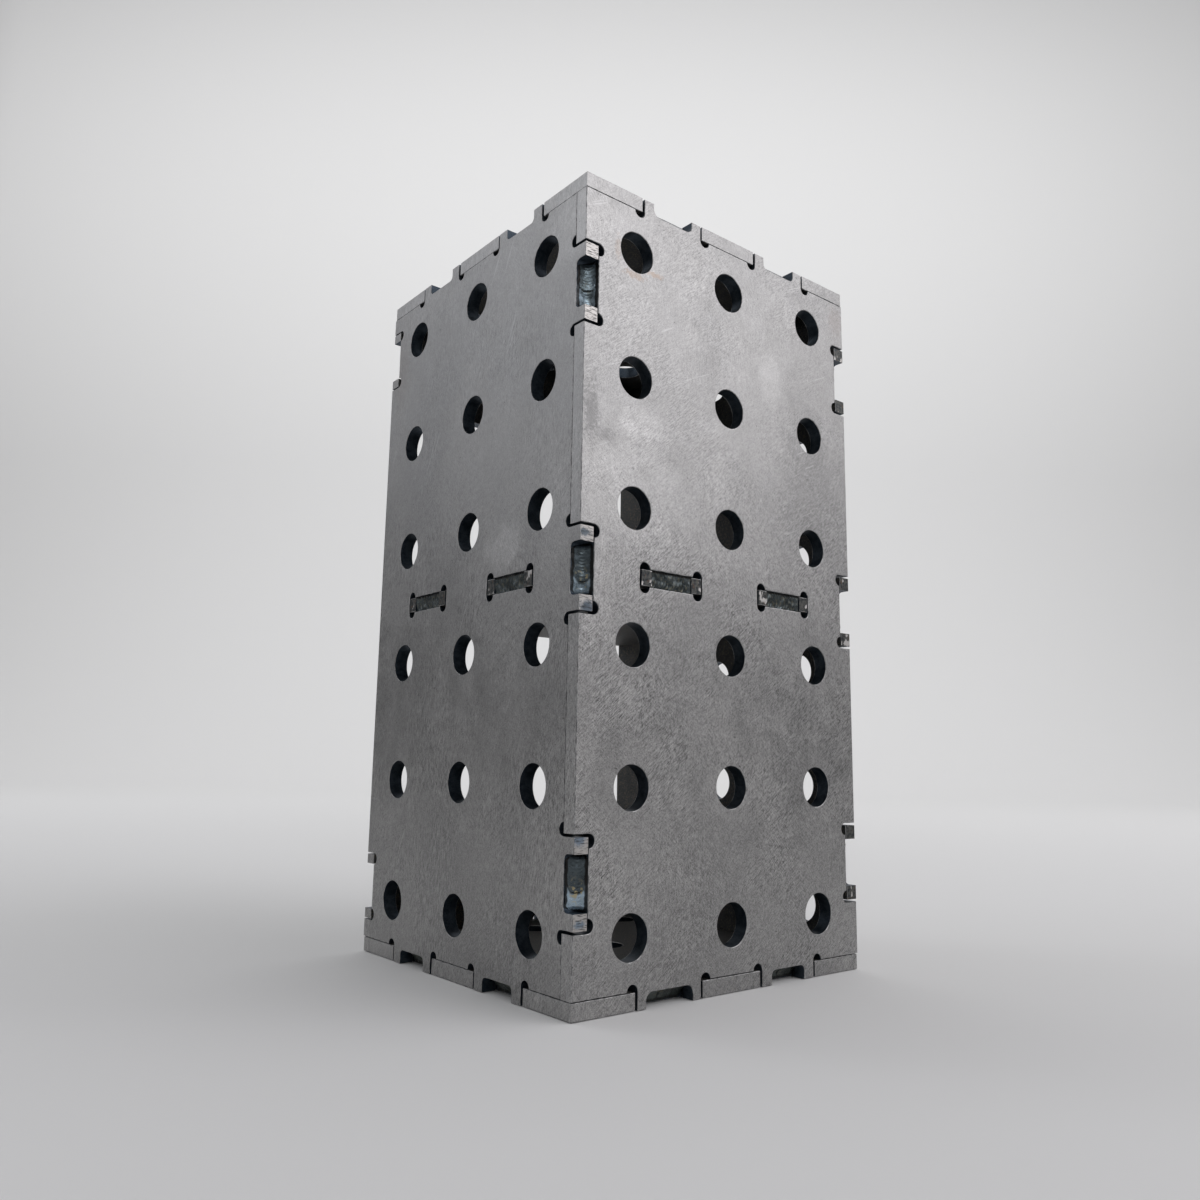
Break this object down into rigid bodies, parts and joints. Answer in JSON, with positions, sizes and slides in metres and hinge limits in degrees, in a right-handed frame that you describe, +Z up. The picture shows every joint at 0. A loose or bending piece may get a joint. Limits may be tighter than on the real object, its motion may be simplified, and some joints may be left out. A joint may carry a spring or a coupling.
{
  "type": "welding table riser column",
  "caption": "Hollow square riser column of slotted, plug-welded steel plates with a grid of clamping holes, for building up a fixture on a welding table.",
  "frame": {"origin": "centre of the base, on the surface that the column stands on", "axes": "+Z up along the column, +Y towards the open back, +X to the right seen from the closed front"},
  "size_m": [0.1494, 0.1494, 0.298],
  "materials": {
    "plate_steel": "sanded bare mild steel, satin",
    "inner_steel": "dull mill-scaled steel",
    "weld_metal": "as-welded bead, blue-grey, glossy in places"
  },
  "bodies": {
    "root": {"front_plate": "plate_steel", "left_plate": "plate_steel", "right_plate": "plate_steel", "bottom_plate": "plate_steel", "top_plate": "plate_steel", "back_bar_lower": "plate_steel", "back_bar_upper": "plate_steel", "mid_plate": "inner_steel", "weld_front_left_lower": "weld_metal", "weld_front_left_middle": "weld_metal", "weld_front_left_upper": "weld_metal", "weld_front_right_lower": "weld_metal", "weld_front_right_middle": "weld_metal", "weld_front_right_upper": "weld_metal", "weld_back_left_lower": "weld_metal", "weld_back_left_upper": "weld_metal", "weld_back_right_lower": "weld_metal", "weld_back_right_upper": "weld_metal", "weld_bottom_front_1": "weld_metal", "weld_bottom_front_2": "weld_metal", "weld_bottom_back_1": "weld_metal", "weld_bottom_back_2": "weld_metal", "weld_bottom_left_1": "weld_metal", "weld_bottom_left_2": "weld_metal", "weld_bottom_right_1": "weld_metal", "weld_bottom_right_2": "weld_metal", "weld_top_front_1": "weld_metal", "weld_top_front_2": "weld_metal", "weld_top_back_1": "weld_metal", "weld_top_back_2": "weld_metal", "weld_top_left_1": "weld_metal", "weld_top_left_2": "weld_metal", "weld_top_right_1": "weld_metal", "weld_top_right_2": "weld_metal", "weld_slot_front_1": "weld_metal", "weld_slot_front_2": "weld_metal", "weld_slot_left_1": "weld_metal", "weld_slot_left_2": "weld_metal", "weld_slot_right_1": "weld_metal", "weld_slot_right_2": "weld_metal"}
  },
  "joints": []
}
